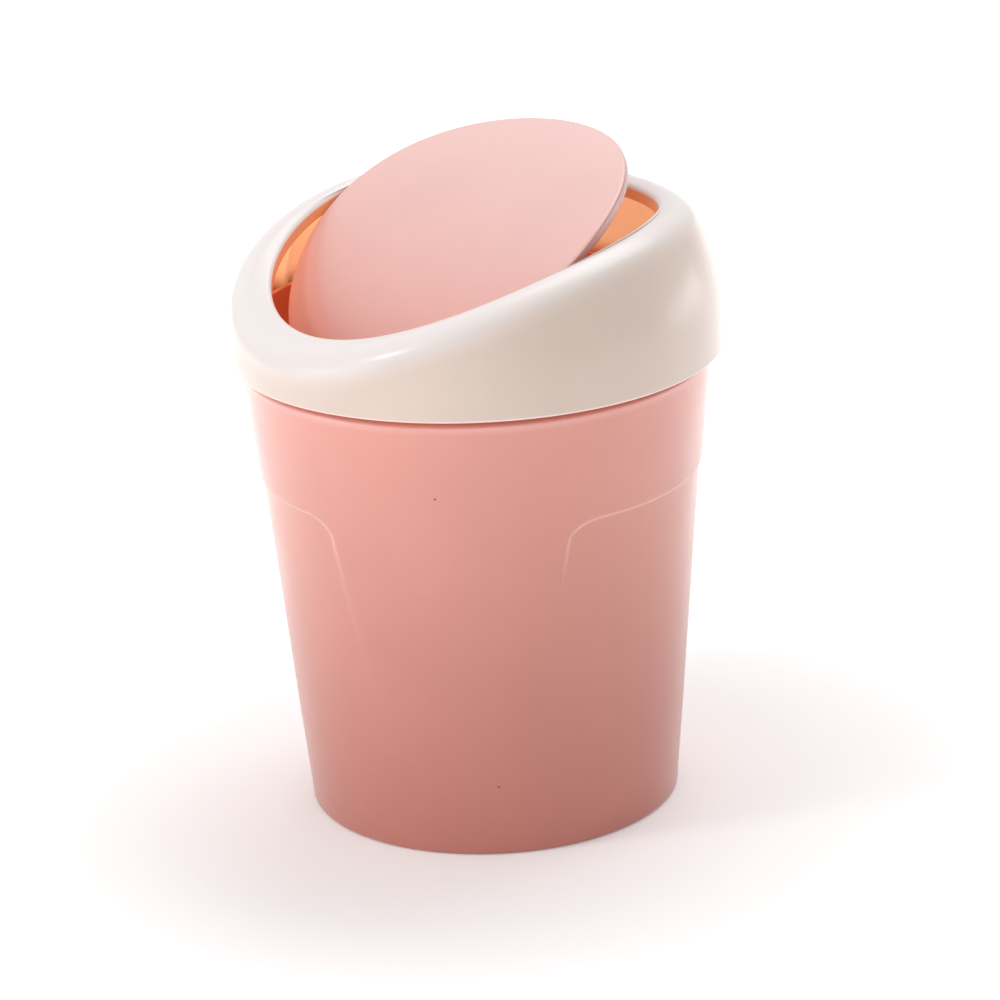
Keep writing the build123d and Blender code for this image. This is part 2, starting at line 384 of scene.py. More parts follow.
def arc_through(first, second, third):
    """Radius as a function of height on the arc through three (r, z) points."""
    (x1, y1), (x2, y2), (x3, y3) = first, second, third
    scale = 2 * (x1 * (y2 - y3) + x2 * (y3 - y1) + x3 * (y1 - y2))
    squares = [x * x + y * y for x, y in (first, second, third)]
    across = (squares[0] * (y2 - y3) + squares[1] * (y3 - y1) + squares[2] * (y1 - y2)) / scale
    up = (squares[0] * (x3 - x2) + squares[1] * (x1 - x3) + squares[2] * (x2 - x1)) / scale
    radius = hypot(x1 - across, y1 - up)
    side = 1 if x2 > across else -1
    return lambda z: across + side * sqrt(radius**2 - (z - up) ** 2)


def spaced(low, high, step):
    """Even heights from low to high, about a step apart."""
    count = max(1, round((high - low) / step))
    return [low + (high - low) * place / count for place in range(count + 1)]


def object_from(name, data, material=None):
    """A new object in the scene."""
    piece = bpy.data.objects.new(name, data)
    bpy.context.scene.collection.objects.link(piece)
    if material:
        data.materials.append(material)
    return piece


def face_outwards(bm):
    """Turns each closed solid's faces outwards."""
    bmesh.ops.recalc_face_normals(bm, faces=bm.faces)
    waiting = set(bm.faces)
    while waiting:
        shell = {waiting.pop()}
        front = list(shell)
        while front:
            near = {face for edge in front.pop().edges for face in edge.link_faces} & waiting
            waiting -= near
            shell |= near
            front += near
        volume = sum(face.calc_center_median().dot(face.normal) * face.calc_area() for face in shell)
        if volume < 0:
            bmesh.ops.reverse_faces(bm, faces=list(shell))


def change(mesh, build):
    """Lets build(bm) change the mesh, then merges its points and faces its solids outwards."""
    bm = bmesh.new()
    bm.from_mesh(mesh)
    build(bm)
    bmesh.ops.remove_doubles(bm, verts=bm.verts, dist=MERGE_DISTANCE)
    face_outwards(bm)
    bm.to_mesh(mesh)
    bm.free()


def solid(name, build, material=None):
    """A new object filled by build(bm)."""
    mesh = bpy.data.meshes.new(name)
    change(mesh, build)
    mesh.shade_smooth()
    return object_from(name, mesh, material)


def applied(piece):
    """The piece's mesh with its modifiers applied, and the modifiers taken away."""
    evaluated = piece.evaluated_get(bpy.context.evaluated_depsgraph_get())
    mesh = bpy.data.meshes.new_from_object(evaluated)
    old = piece.data
    piece.modifiers.clear()
    piece.data = mesh
    mesh.name = old.name
    return mesh


def loft(bm, rings, capped=False, round_ring=True, second_material=()):
    """Joins each ring of points to the next, and the last to the first unless both ends are capped."""
    grid = [[bm.verts.new(point) for point in ring] for ring in rings]
    for here, there in zip(grid, grid[1:] if capped else grid[1:] + grid[:1]):
        for place in range(len(here) if round_ring else len(here) - 1):
            after = (place + 1) % len(here)
            face = bm.faces.new((here[place], here[after], there[after], there[place]))
            face.material_index = 1 if place in second_material else 0
    if capped:
        bm.faces.new(grid[0])
        bm.faces.new(grid[-1])


def turned_along_x(bm, line, height, y, segments=40):
    """A solid turned about a line along X, from (x, radius) points that start and end on it."""
    rings = []
    for step in range(segments):
        turn = 2 * pi * step / segments
        rings.append([(x, y + r * cos(turn), height + r * sin(turn)) for x, r in line])
    loft(bm, rings, round_ring=False)


def set_inputs(modifier, sizes, **values):
    """Sets a modifier's inputs from the values, or else from the sizes, of the same name."""
    for item in modifier.node_group.interface.items_tree:
        name = item.name.lower().replace(" ", "_")
        if name in values:
            modifier[item.identifier] = values[name]
        elif hasattr(sizes, name):
            modifier[item.identifier] = getattr(sizes, name)


# --- shape rules ---


def spun_moulding():
    """Geometry Nodes that spin a profile into a closed moulding.

    The object's mesh is the profile: vertex by vertex, radius in X and height in Z, and outside set to 1
    where grip panels may be pressed in. Fall and bow then bend the whole moulding about the X axis.
    """
    tree, nodes, given, result = new_group(
        "Spun moulding",
        "GeometryNodeTree",
        {
            "Geometry": "Profile",
            "Int": "Segments, Rows",
            "Float": "Shift, Height, Fall, Bow, Grip Bearing, Grip Half Width, Grip Top, Grip Bottom, "
            "Grip Depth, Grip Corner, Grip Edge",
            "Material": "Material",
        },
        {"Geometry": "Moulding"},
    )
    maths, plus, minus, times = nodes.maths, nodes.plus, nodes.minus, nodes.times
    columns = plus(given["Segments"], 1)
    size = {"Size X": 1.0, "Size Y": 1.0, "Vertices X": columns, "Vertices Y": given["Rows"]}
    grid = nodes.add("GeometryNodeMeshGrid", size)
    spot = nodes.parts(nodes.add("GeometryNodeInputPosition").outputs[0])
    turn = times(plus(spot["X"], 0.5), 2 * pi)
    last_row = minus(given["Rows"], 1)
    row = maths("ROUND", times(plus(spot["Y"], 0.5), last_row))

    def along_profile(value, data_type):
        """A value of the profile at this row."""
        sample = nodes.add("GeometryNodeSampleIndex", data_type=data_type, domain="POINT")
        nodes.feed_all(sample.inputs, {"Geometry": given["Profile"], "Value": value, "Index": row})
        return sample.outputs[0]

    profile_spot = along_profile(nodes.add("GeometryNodeInputPosition").outputs[0], "FLOAT_VECTOR")
    flag = nodes.add("GeometryNodeInputNamedAttribute", {"Name": "outside"}, data_type="FLOAT")
    outside = along_profile(flag.outputs["Attribute"], "FLOAT")
    profile = nodes.parts(profile_spot)
    radius, height = profile["X"], profile["Z"]

    # how far inside the rounded outline of a grip panel this spot lies
    bearing = minus(turn, given["Grip Bearing"])
    across = maths("ABSOLUTE", times(radius, maths("SINE", bearing)))
    past_side = minus(across, minus(given["Grip Half Width"], given["Grip Corner"]))
    past_top = minus(height, minus(given["Grip Top"], given["Grip Corner"]))
    corner = maths("POWER", maths("MAXIMUM", past_side, 0.0), 2.0)
    corner = plus(corner, maths("POWER", maths("MAXIMUM", past_top, 0.0), 2.0))
    corner = maths("SQRT", corner)
    beyond = plus(corner, maths("MINIMUM", maths("MAXIMUM", past_side, past_top), 0.0))
    beyond = minus(beyond, given["Grip Corner"])
    half_edge = times(given["Grip Edge"], 0.5)
    pressed = nodes.ramp(beyond, times(half_edge, -1.0), half_edge, 1.0, 0.0)
    fade = nodes.ramp(height, given["Grip Bottom"], given["Grip Top"], soft=False)
    pressed = times(times(pressed, fade), outside)
    radius = minus(radius, times(pressed, given["Grip Depth"]))

    side = times(radius, maths("SINE", turn))
    front = times(radius, maths("COSINE", turn))
    depth = times(plus(front, given["Shift"]), -1.0)
    height = plus(height, given["Height"])
    height = plus(height, times(given["Fall"], depth))
    height = minus(height, times(given["Bow"], times(depth, depth)))
    place = nodes.add("ShaderNodeCombineXYZ", {"X": side, "Y": depth, "Z": height})
    steps = (
        ("SetPosition", {"Position": place.outputs[0]}),
        ("MergeByDistance", {"Distance": 2 * MERGE_DISTANCE}),
        ("SetShadeSmooth", {}),
        ("RealizeInstances", {}),
        ("SetMaterial", {"Material": given["Material"]}),
    )
    shape = grid.outputs["Mesh"]
    for kind, inputs in steps:
        shape = nodes.add("GeometryNode" + kind, {"Geometry": shape, **inputs}).outputs[0]
    nodes.feed(result["Moulding"], shape)
    return tree


def one_material(bm):
    """Puts every face on the first material."""
    for face in bm.faces:
        face.material_index = 0


def spin(name, line, material, sizes, outside=lambda r, z: False, **values):
    """A piece spun from a profile line by the spun moulding nodes, as a plain mesh."""
    mesh = bpy.data.meshes.new(name)
    edges = [(place, place + 1) for place in range(len(line) - 1)]
    mesh.from_pydata([(r, 0, z) for r, z in line], edges, [])
    flags = mesh.attributes.new("outside", "FLOAT", "POINT")
    for place, (r, z) in enumerate(line):
        flags.data[place].value = outside(r, z)
    piece = object_from(name, mesh)
    modifier = piece.modifiers.new("Spun moulding", "NODES")
    modifier.node_group = group("Spun moulding", spun_moulding)
    set_inputs(modifier, sizes, rows=len(line), material=material, **values)
    mesh = applied(piece)
    change(mesh, one_material)
    mesh.materials.clear()
    mesh.materials.append(material)
    return piece


def seat_ribs_tree():
    """Geometry Nodes that stand ribs round the Z axis and trim them to the inside of the collar."""
    sockets = {"Geometry": "Rib", "Int": "Count", "Float": "Start Angle"}
    sockets |= {"Object": "Inside", "Material": "Material"}
    tree, nodes, given, result = new_group("Seat ribs", "GeometryNodeTree", sockets, {"Geometry": "Ribs"})
    spots = nodes.add("GeometryNodePoints", {"Count": given["Count"], "Radius": MM})
    index = nodes.add("GeometryNodeInputIndex").outputs[0]
    step = nodes.maths("DIVIDE", 2 * pi, given["Count"])
    bearing = nodes.plus(nodes.times(index, step), given["Start Angle"])
    turn = nodes.add("ShaderNodeCombineXYZ", {"Z": bearing})
    euler = nodes.add("FunctionNodeEulerToRotation", {0: turn.outputs[0]})
    places = {"Points": spots.outputs[0], "Instance": given["Rib"], "Rotation": euler.outputs[0]}
    ribs = nodes.add("GeometryNodeInstanceOnPoints", places)
    real = nodes.add("GeometryNodeRealizeInstances", {"Geometry": ribs.outputs[0]})
    inside = nodes.add("GeometryNodeObjectInfo", {"Object": given["Inside"]})
    trimmed = nodes.add("GeometryNodeMeshBoolean", operation="INTERSECT", solver="EXACT")
    for shape in (real.outputs[0], inside.outputs["Geometry"]):
        nodes.feed(trimmed.inputs["Mesh 2"], shape)
    finish = {"Geometry": trimmed.outputs[0], "Material": given["Material"]}
    nodes.feed(result["Ribs"], nodes.add("GeometryNodeSetMaterial", finish).outputs[0])
    return tree


# --- bucket ---


def bucket_profile(sizes):
    """The bucket's section from the middle of its underside, round the outside and in to its floor."""
    outer = arc_through(
        (sizes.foot_radius, 0),
        (sizes.waist_radius, sizes.waist_height),
        (sizes.shoulder_radius, sizes.shoulder_height),
    )
    neck_inside = sizes.neck_radius - sizes.neck_wall
    taper_top = sizes.shoulder_height - sizes.neck_taper_drop
    inner = arc_through(
        (sizes.foot_radius - sizes.wall, sizes.floor_height),
        (sizes.waist_radius - sizes.wall, sizes.waist_height),
        (neck_inside, taper_top),
    )
    ledge_low, ledge_high = sizes.grip_top - 7 * MM, sizes.grip_top + 1.5 * MM
    heights = spaced(2.5 * MM, ledge_low, 2.5 * MM)
    heights += spaced(ledge_low, ledge_high, 0.25 * MM)[1:]
    heights += spaced(ledge_high, sizes.shoulder_height - 2.5 * MM, 2.5 * MM)[1:]
    inside_heights = spaced(sizes.floor_height + sizes.floor_round + 1.5 * MM, taper_top, 4 * MM)
    neck_heights = spaced(sizes.shoulder_height + 1.5 * MM, RIM_HEIGHT - 2 * MM, 3 * MM)
    gate_radius, gate_depth, fine_round = 2 * MM, 0.35 * MM, 0.15 * MM
    recess, depth, floor_radius = sizes.recess_radius, sizes.recess_depth, sizes.foot_radius - sizes.wall
    return rounded([
        (0, depth - gate_depth, 0),
        (gate_radius, depth - gate_depth, fine_round),
        (gate_radius + 0.4 * MM, depth, fine_round),
        *((recess * place / 6, depth, 0) for place in range(1, 6)),
        (recess, depth, 0.5 * MM),
        (recess, 0, 0.3 * MM),
        (sizes.foot_radius, 0, sizes.foot_round),
        *((outer(z), z, 0) for z in heights),
        (sizes.shoulder_radius, sizes.shoulder_height, sizes.shoulder_round),
        (sizes.neck_radius, sizes.shoulder_height, fine_round),
        *((sizes.neck_radius, z, 0) for z in neck_heights),
        (sizes.neck_radius, RIM_HEIGHT, 0.4 * MM),
        (neck_inside, RIM_HEIGHT, 0.4 * MM),
        (neck_inside, RIM_HEIGHT - 4 * MM, 0),
        *((inner(z), z, 0) for z in reversed(inside_heights)),
        (floor_radius, sizes.floor_height, sizes.floor_round),
        *((floor_radius * place / 8, sizes.floor_height, 0) for place in range(7, -1, -1)),
    ])


# --- collar ---


class CollarShape:
    """The collar's section in the upright plane through the middle at any bearing."""

    def __init__(self, sizes, inset=0.0):
        self.sizes = sizes
        self.inset = inset

    def crest(self, bearing, r):
        """Height of the crest surface."""
        s = self.sizes
        x, y = r * sin(bearing), -r * cos(bearing)
        return s.crest_centre + s.crest_sag * x * x + s.crest_fall * y - self.inset

    def wall(self, bearing, z):
        """Radius of the leaning, bulging outer wall."""
        s = self.sizes
        lean_y, lean_z = sin(s.lean), cos(s.lean)
        rise = z - SKIRT_HEIGHT
        middle = s.bulge_radius - s.wall_arc
        r = s.bulge_radius
        for _ in range(6):
            along = -r * cos(bearing) * lean_y + rise * lean_z
            from_axis = sqrt(max(r * r + rise * rise - along * along, 0))
            wanted = middle + sqrt((s.wall_arc - self.inset) ** 2 - (along - s.bulge_height) ** 2)
            r += wanted - from_axis
        return r

    def mouth(self, bearing):
        """Distance from the middle to the mouth's edge."""
        s = self.sizes
        forward = s.mouth_forward * cos(bearing)
        return forward + sqrt(s.mouth_radius**2 - s.mouth_forward**2 + forward**2)

    def corner(self, bearing):
        """Where crest and wall would meet."""
        z = self.crest(bearing, self.sizes.bulge_radius)
        for _ in range(8):
            r = self.wall(bearing, z)
            z = self.crest(bearing, r)
        return r, z

    def roll(self, bearing, steps, fullness=0.56):
        """The rounding from the crest over to the wall."""
        size = self.sizes.crest_round - self.inset
        r, z = self.corner(bearing)
        start = Vector((r - size, self.crest(bearing, r - size)))
        end = Vector((self.wall(bearing, z - size), z - size))
        tiny = 0.1 * MM
        along_crest = Vector((tiny, self.crest(bearing, r - size + tiny) - start.y)).normalized()
        up_wall = Vector((self.wall(bearing, end.y + tiny) - end.x, tiny)).normalized()
        first, second = start + along_crest * size * fullness, end + up_wall * size * fullness
        line = []
        for step in range(steps + 1):
            t = step / steps
            u = 1 - t
            line.append(u**3 * start + 3 * u * u * t * first + 3 * u * t * t * second + t**3 * end)
        return line


def collar_bearings(sizes):
    """Bearings of the collar's sections: even steps, and a pair at each side of a hinge tab."""
    pairs = []
    for y in (-sizes.tab_half_width, sizes.tab_half_width):
        x = sqrt(sizes.mouth_radius**2 - (y + sizes.mouth_forward) ** 2)
        pairs += [atan2(x, -y), 2 * pi - atan2(x, -y)]
    step = 2 * pi / sizes.segments
    even = [step * place for place in range(sizes.segments)]
    kept = [bearing for bearing in even if all(abs(bearing - edge) > step / 4 for edge in pairs)]
    return sorted(kept + [edge + side for edge in pairs for side in (-TAB_SIDE, TAB_SIDE)])


def collar_rings(sizes):
    """Closed sections of the collar, bearing by bearing, as points, and the places of their inner faces."""
    outer, hollow = CollarShape(sizes), CollarShape(sizes, sizes.wall)
    rings = []
    for bearing in collar_bearings(sizes):
        lip = outer.mouth(bearing)
        lip_back = lip + sizes.wall
        y = -lip * cos(bearing)
        low = outer.crest(bearing, lip) - sizes.lip_depth
        if abs(y) < sizes.tab_half_width:
            into_corner = max(0.0, abs(y) - (sizes.tab_half_width - sizes.tab_corner))
            low = HINGE.z - sizes.tab_bottom + sizes.tab_corner - sqrt(sizes.tab_corner**2 - into_corner**2)
        roll = outer.roll(bearing, steps=14)
        crest_start = lip + sizes.mouth_round
        edge_centre = outer.crest(bearing, lip) - sizes.mouth_round
        line = [(lip, low + LIP_BEVEL), (lip, edge_centre)]
        for turn in (20, 40, 60, 80):
            edge_r = crest_start - sizes.mouth_round * cos(radians(turn))
            edge_drop = sizes.mouth_round * (1 - sin(radians(turn)))
            line.append((edge_r, outer.crest(bearing, edge_r) - edge_drop))
        halfway = crest_start + (roll[0].x - crest_start) * 0.5
        line += [(r, outer.crest(bearing, r)) for r in (crest_start, halfway)]
        line += roll
        skirt_edge = SKIRT_HEIGHT + sizes.skirt_bevel
        for step in range(1, WALL_STEPS + 1):
            z = roll[-1].y + (skirt_edge - roll[-1].y) * step / WALL_STEPS
            line.append((outer.wall(bearing, z), z))
        line.append((outer.wall(bearing, SKIRT_HEIGHT) - sizes.skirt_bevel, SKIRT_HEIGHT))
        skirt_place = len(line)
        line.append((hollow.wall(bearing, SKIRT_HEIGHT) + 0.2 * MM, SKIRT_HEIGHT))
        line += [(hollow.wall(bearing, z), z) for z in (SKIRT_HEIGHT + 0.2 * MM, SKIRT_HEIGHT + 3 * MM)]
        line += reversed(hollow.roll(bearing, steps=10))
        line += [
            (lip_back, hollow.crest(bearing, lip_back)),
            (lip_back, low + LIP_BEVEL),
            (lip_back - LIP_BEVEL, low),
            (lip + LIP_BEVEL, low),
        ]
        rings.append([around(bearing, *point) for point in line])
    return rings, range(skirt_place, len(line))


def around(bearing, r, z):
    """The point at radius r and height z, at a bearing from the front towards +X."""
    return Vector((r * sin(bearing), -r * cos(bearing), z))


def collar_cavity(sizes):
    """The collar's shape drawn in to the middle of its wall, as a solid to trim the ribs with."""
    shape = CollarShape(sizes, sizes.wall / 2)
    rings = []
    for step in range(CAVITY_SEGMENTS):
        bearing = 2 * pi * step / CAVITY_SEGMENTS
        roll = shape.roll(bearing, steps=8)
        line = [(r, shape.crest(bearing, r)) for r in (0, roll[0].x / 2)] + roll
        line += [(shape.wall(bearing, z), z) for z in (SKIRT_HEIGHT + 2 * MM, SKIRT_HEIGHT)]
        line.append((0, SKIRT_HEIGHT))
        rings.append([around(bearing, *point) for point in line])
    return solid("cavity", lambda bm: loft(bm, rings, round_ring=False))


def stop_pegs(sizes, ear_half_width):
    """Middles of the stop pegs, as (y, z): one stops the closed flap and one the fully open flap."""
    away = ear_half_width + sizes.peg_radius + sizes.peg_clearance
    lever, swing = sizes.peg_lever, OPEN_ANGLE - CLOSED_ANGLE
    opened = (-away * cos(swing) - lever * sin(swing), HINGE.z - away * sin(swing) + lever * cos(swing))
    return [(away, HINGE.z + lever), opened]


def drilled(piece, radius, reach):
    """Cuts the hinge's bearing hole through the piece, along X."""
    line = [(-reach, 0), (-reach, radius), (reach, radius), (reach, 0)]
    cutter = solid("drill", lambda bm: turned_along_x(bm, line, HINGE.z, 0, segments=64))
    modifier = piece.modifiers.new("Bearing hole", "BOOLEAN")
    modifier.operation, modifier.solver, modifier.object = "DIFFERENCE", "EXACT", cutter
    applied(piece)
    bpy.data.objects.remove(cutter)


def crisp(mesh):
    """Smooth faces, with sharp edges kept sharp."""
    mesh.shade_smooth()
    mesh.set_sharp_from_angle(angle=radians(38))


def peg_line(start, end, radius):
    """Half section of a peg along X, its far edge broken."""
    edge = EDGE_BREAK if end > start else -EDGE_BREAK
    return [(start, 0), (start, radius), (end - edge, radius), (end, radius - EDGE_BREAK), (end, 0)]


# --- flap ---


def flap_profile(sizes):
    """The closed flap's section from the middle of its top out over the rim and in under the plate."""
    inner = sizes.radius - sizes.rim_width
    return rounded([
        *((sizes.radius * place / 14, 0, 0) for place in range(14)),
        (sizes.radius, 0, sizes.edge_round),
        (sizes.radius, -sizes.rim, SMALL_ROUND),
        (inner, -sizes.rim, SMALL_ROUND),
        (inner, -sizes.plate, SMALL_ROUND),
        *((inner * place / 10, -sizes.plate, 0) for place in range(9, -1, -1)),
    ])


def flap_height(sizes, y, drop=0.0):
    """Height of the closed flap's top at y, lowered by drop."""
    return sizes.top + sizes.fall * y - sizes.bow * y * y - drop


def add_ear(bm, sizes, side):
    """One ear under the flap, a rounded plate standing along Y that carries a pin."""
    half = sizes.ear_half_width
    outline = [(-half * cos(pi * step / 20), HINGE.z - half * sin(pi * step / 20)) for step in range(21)]
    level = [half - 2 * half * step / 6 for step in range(7)]
    outline += [(y, flap_height(sizes, y, sizes.plate / 2)) for y in level]
    inner, outer = side * (sizes.ear_outer - sizes.ear_thickness), side * sizes.ear_outer
    edge, middle = side * EDGE_BREAK, HINGE.z + half
    rings = []
    for x, pull in ((inner, EDGE_BREAK), (inner + edge, 0), (outer - edge, 0), (outer, EDGE_BREAK)):
        shrink = 1 - pull / half
        rings.append([(x, y * shrink, middle + (z - middle) * shrink) for y, z in outline])
    loft(bm, rings, capped=True)


# --- plastics ---


def skin_group():
    """Colour, roughness and surface height of a moulded plastic skin, from object coordinates."""
    tree, nodes, given, result = new_group(
        "Moulded skin",
        "ShaderNodeTree",
        {"Color": "Upper Colour, Lower Colour", "Float": "Low, High, Gloss"},
        {"Color": "Colour", "Float": "Roughness, Height"},
    )
    spot = nodes.here()

    def noise(scale, detail, roughness=0.5):
        """A noise value over the piece."""
        return nodes.add(
            "ShaderNodeTexNoise", {"Vector": spot, "Scale": scale, "Detail": detail, "Roughness": roughness}
        ).outputs[0]

    # painted shade where the lower colour is darker: the colour runs from lower to upper with height
    level = nodes.ramp(nodes.parts(spot)["Z"], given["Low"], given["High"], soft=False)
    base = nodes.blend(level, given["Lower Colour"], given["Upper Colour"])
    cloud = nodes.ramp(noise(26.0, 3.0), 0.3, 0.7, 0.975, 1.02)
    clouded = nodes.add("ShaderNodeVectorMath", {0: base, "Scale": cloud}, operation="SCALE")
    nodes.feed(result["Colour"], clouded.outputs[0])

    rough = nodes.ramp(noise(60.0, 4.0, 0.6), 0.3, 0.7, -0.035, 0.035)
    nodes.feed(result["Roughness"], nodes.plus(given["Gloss"], rough))

    peel = nodes.times(noise(900.0, 2.0), 0.4)
    flow = nodes.times(noise(70.0, 2.0), 1.6)
    nodes.feed(result["Height"], nodes.plus(peel, flow))
    return tree


def specks_group():
    """A mask of two tiny specks moulded into the plastic, each at its own spot."""
    tree, nodes, given, result = new_group(
        "Specks", "ShaderNodeTree", {"Vector": "Speck 1, Speck 2", "Float": "Size"}, {"Float": "Mask"}
    )
    spot = nodes.here()
    away = [nodes.vectors("DISTANCE", spot, given[label]) for label in ("Speck 1", "Speck 2")]
    wobble = nodes.add("ShaderNodeTexNoise", {"Vector": spot, "Scale": 3000.0}).outputs[0]
    ragged = nodes.times(given["Size"], nodes.ramp(wobble, 0.3, 0.7, 0.6, 1.3))
    share = nodes.maths("DIVIDE", nodes.maths("MINIMUM", *away), ragged)
    nodes.feed(result["Mask"], nodes.ramp(share, 0.6, 1.2, 1.0, 0.0))
    return tree


def new_material(name):
    """A material with nodes, its helper and its shader's inputs."""
    material = bpy.data.materials.new(name)
    material.use_nodes = True
    return material, Nodes(material.node_tree), material.node_tree.nodes["Principled BSDF"].inputs


def plastic(name, upper, lower, low, high, gloss, tint=None, glow=None):
    """A moulded plastic, its colour running from lower to upper between two heights.

    The run from lower to upper colour is painted shade where the two differ. tint(nodes, colour) may change the
    colour before it reaches the shader. Glow is a painted glow, an emission that stands in for light through
    the thin wall: a colour, or a function of the nodes that gives one.
    """
    material, nodes, shader = new_material(name)
    given = {"Upper Colour": upper, "Lower Colour": lower, "Low": low, "High": high, "Gloss": gloss}
    skin = nodes.add("ShaderNodeGroup", node_tree=group("Moulded skin", skin_group))
    nodes.feed_all(skin.inputs, given)
    skin = skin.outputs
    bump = nodes.add("ShaderNodeBump", {"Height": skin["Height"], "Strength": 0.25, "Distance": 0.03 * MM})
    settings = {
        "Base Color": tint(nodes, skin["Colour"]) if tint else skin["Colour"],
        "Roughness": skin["Roughness"],
        "Normal": bump.outputs[0],
        "IOR": 1.5,
        "Coat Weight": 0.4,
        "Coat Roughness": 0.2,
    }
    if glow:
        settings["Emission Color"] = glow(nodes) if callable(glow) else glow
        settings["Emission Strength"] = 1.0
    nodes.feed_all(shader, settings)
    return material


def through(look, tint, share=1.0):
    """Painted glow: emission as a share of this colour, standing in for light through a thin wall."""
    return [share * look.inside_glow * part for part in tint]


def specked(nodes, colour_now):
    """The colour with its two dark specks."""
    specks = nodes.add("ShaderNodeGroup", node_tree=group("Specks", specks_group))
    nodes.feed_all(specks.inputs, {"Speck 1": SPECKS[0], "Speck 2": SPECKS[1], "Size": SPECK_SIZE})
    return nodes.blend(specks.outputs["Mask"], colour_now, SPECK_COLOUR)


def grip_ledge_highlight_mask(nodes, sizes):
    """A mask of the slope round the top of each grip panel, where the wall faces down or sideways, for a
    painted highlight there.
    """
    spot, facing = nodes.here(), nodes.here("Normal")
    turned = nodes.parts(nodes.vectors("CROSS_PRODUCT", spot, facing))["Z"]
    sideways = nodes.maths("DIVIDE", nodes.maths("ABSOLUTE", turned), sizes.foot_radius)
    down = nodes.times(nodes.parts(facing)["Z"], -1.0)
    slope = nodes.ramp(nodes.maths("MAXIMUM", sideways, down), 0.16, 0.42)
    height = nodes.parts(spot)["Z"]
    # the painted highlight fades out down the panel's sides, and stops short of the shoulder
    rising = nodes.ramp(height, sizes.grip_top - 21 * MM, sizes.grip_top - 8 * MM)
    below_top = nodes.ramp(height, sizes.grip_top + 4 * MM, sizes.grip_top + 6 * MM, 1.0, 0.0)
    return nodes.times(slope, nodes.times(rising, below_top))


def below_crest(nodes, sizes):
    """Depth under the collar's crest surface."""
    spot = nodes.parts(nodes.here())
    sag = nodes.times(nodes.times(spot["X"], spot["X"]), sizes.crest_sag)
    fall = nodes.times(spot["Y"], sizes.crest_fall)
    crest = nodes.plus(nodes.plus(sag, fall), sizes.crest_centre)
    return nodes.minus(crest, spot["Z"])


def lip_mask(nodes, sizes):
    """1 down the lip of the mouth, 0 over the crest and outside: where the painted orange bounce light and
    shade go.
    """
    flat = nodes.vectors("MULTIPLY", nodes.here(), (1, 1, 0))
    away = nodes.vectors("DISTANCE", flat, (0, -sizes.mouth_forward, 0))
    return nodes.ramp(away, sizes.mouth_radius + 0.02 * MM, sizes.mouth_radius + 0.2 * MM, 1.0, 0.0)


def bevel_highlight_mask(nodes, sizes):
    """1 on the bevel along the skirt's edge, 0 over it, for the painted highlight."""
    top = SKIRT_HEIGHT + sizes.skirt_bevel
    return nodes.ramp(nodes.height(), top - 0.1 * MM, top + 0.25 * MM, 1.0, 0.0)


def inside_faces(mesh, is_inside, material):
    """Gives the mesh a second material on the faces for which is_inside(middle, normal)."""
    mesh.materials.append(material)
    place = len(mesh.materials) - 1
    for face in mesh.polygons:
        if is_inside(face.center, face.normal):
            face.material_index = place


# --- the pieces ---


class BIN_OT_bucket(Operator):
    """Builds the tapered bucket with its grip panels and neck"""

    bl_idname = "bin.bucket"
    bl_label = "Bucket"

    def execute(self, context):
        sizes, look = context.scene.bin_bucket, context.scene.bin_stage
        # the painted highlight band, with a faint painted glow, lies just under the shoulder's rounded edge
        band_low, band_high = sizes.shoulder_height - 3.2 * MM, sizes.shoulder_height - 0.9 * MM

        def shoulder(nodes):
            height = nodes.height()
            below_edge = nodes.ramp(height, band_high - 0.3 * MM, band_high + 0.2 * MM, 1.0, 0.0)
            return nodes.times(nodes.ramp(height, band_low, band_high), below_edge)

        def tint(nodes, colour_now):
            # painted highlight along the grip ledges
            lined = nodes.blend(grip_ledge_highlight_mask(nodes, sizes), colour_now, look.bucket_ledge)
            # painted highlight band under the shoulder; the specks are the plastic's own
            return specked(nodes, nodes.blend(shoulder(nodes), lined, look.bucket_shoulder))

        # painted glow on the shoulder band, lifting the shade under the collar's skirt
        def glow(nodes):
            return nodes.blend(shoulder(nodes), BLACK, through(look, look.bucket_shoulder, share=0.15))

        def pressed_in(r, z):
            return 3 * MM < z < sizes.shoulder_height - 2 * MM and r > sizes.foot_radius - 0.5 * MM

        def looks_in(middle, normal):
            away = hypot(middle.x, middle.y)
            faces_middle = middle.x * normal.x + middle.y * normal.y < -0.2 * away
            is_floor = normal.z > 0.9 and away < sizes.foot_radius - sizes.wall
            return middle.z > sizes.floor_height - 0.1 * MM and (faces_middle or is_floor)

        # painted shade: the pink darkens from the shoulder towards the foot
        body = (look.bucket_colour, look.bucket_deep, 0.0, sizes.shoulder_height)
        pink = plastic("Bucket pink", *body, gloss=0.34, tint=tint, glow=glow)
        # painted shade: the inner wall red, darker still towards the inside floor, with a painted glow
        floor_painted_shade = [0.6 * part for part in look.bucket_inside]
        inner_wall = (look.bucket_inside, floor_painted_shade, 40 * MM, RIM_HEIGHT)
        painted_inside_glow = through(look, look.bucket_inside, share=0.55)
        inside = plastic("Bucket inside", *inner_wall, gloss=0.42, glow=painted_inside_glow)
        bucket = spin("bucket_shell", bucket_profile(sizes), pink, sizes, pressed_in)
        crisp(bucket.data)
        inside_faces(bucket.data, looks_in, inside)
        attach(bucket, "bucket_body")
        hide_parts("bucket")
        return {"FINISHED"}


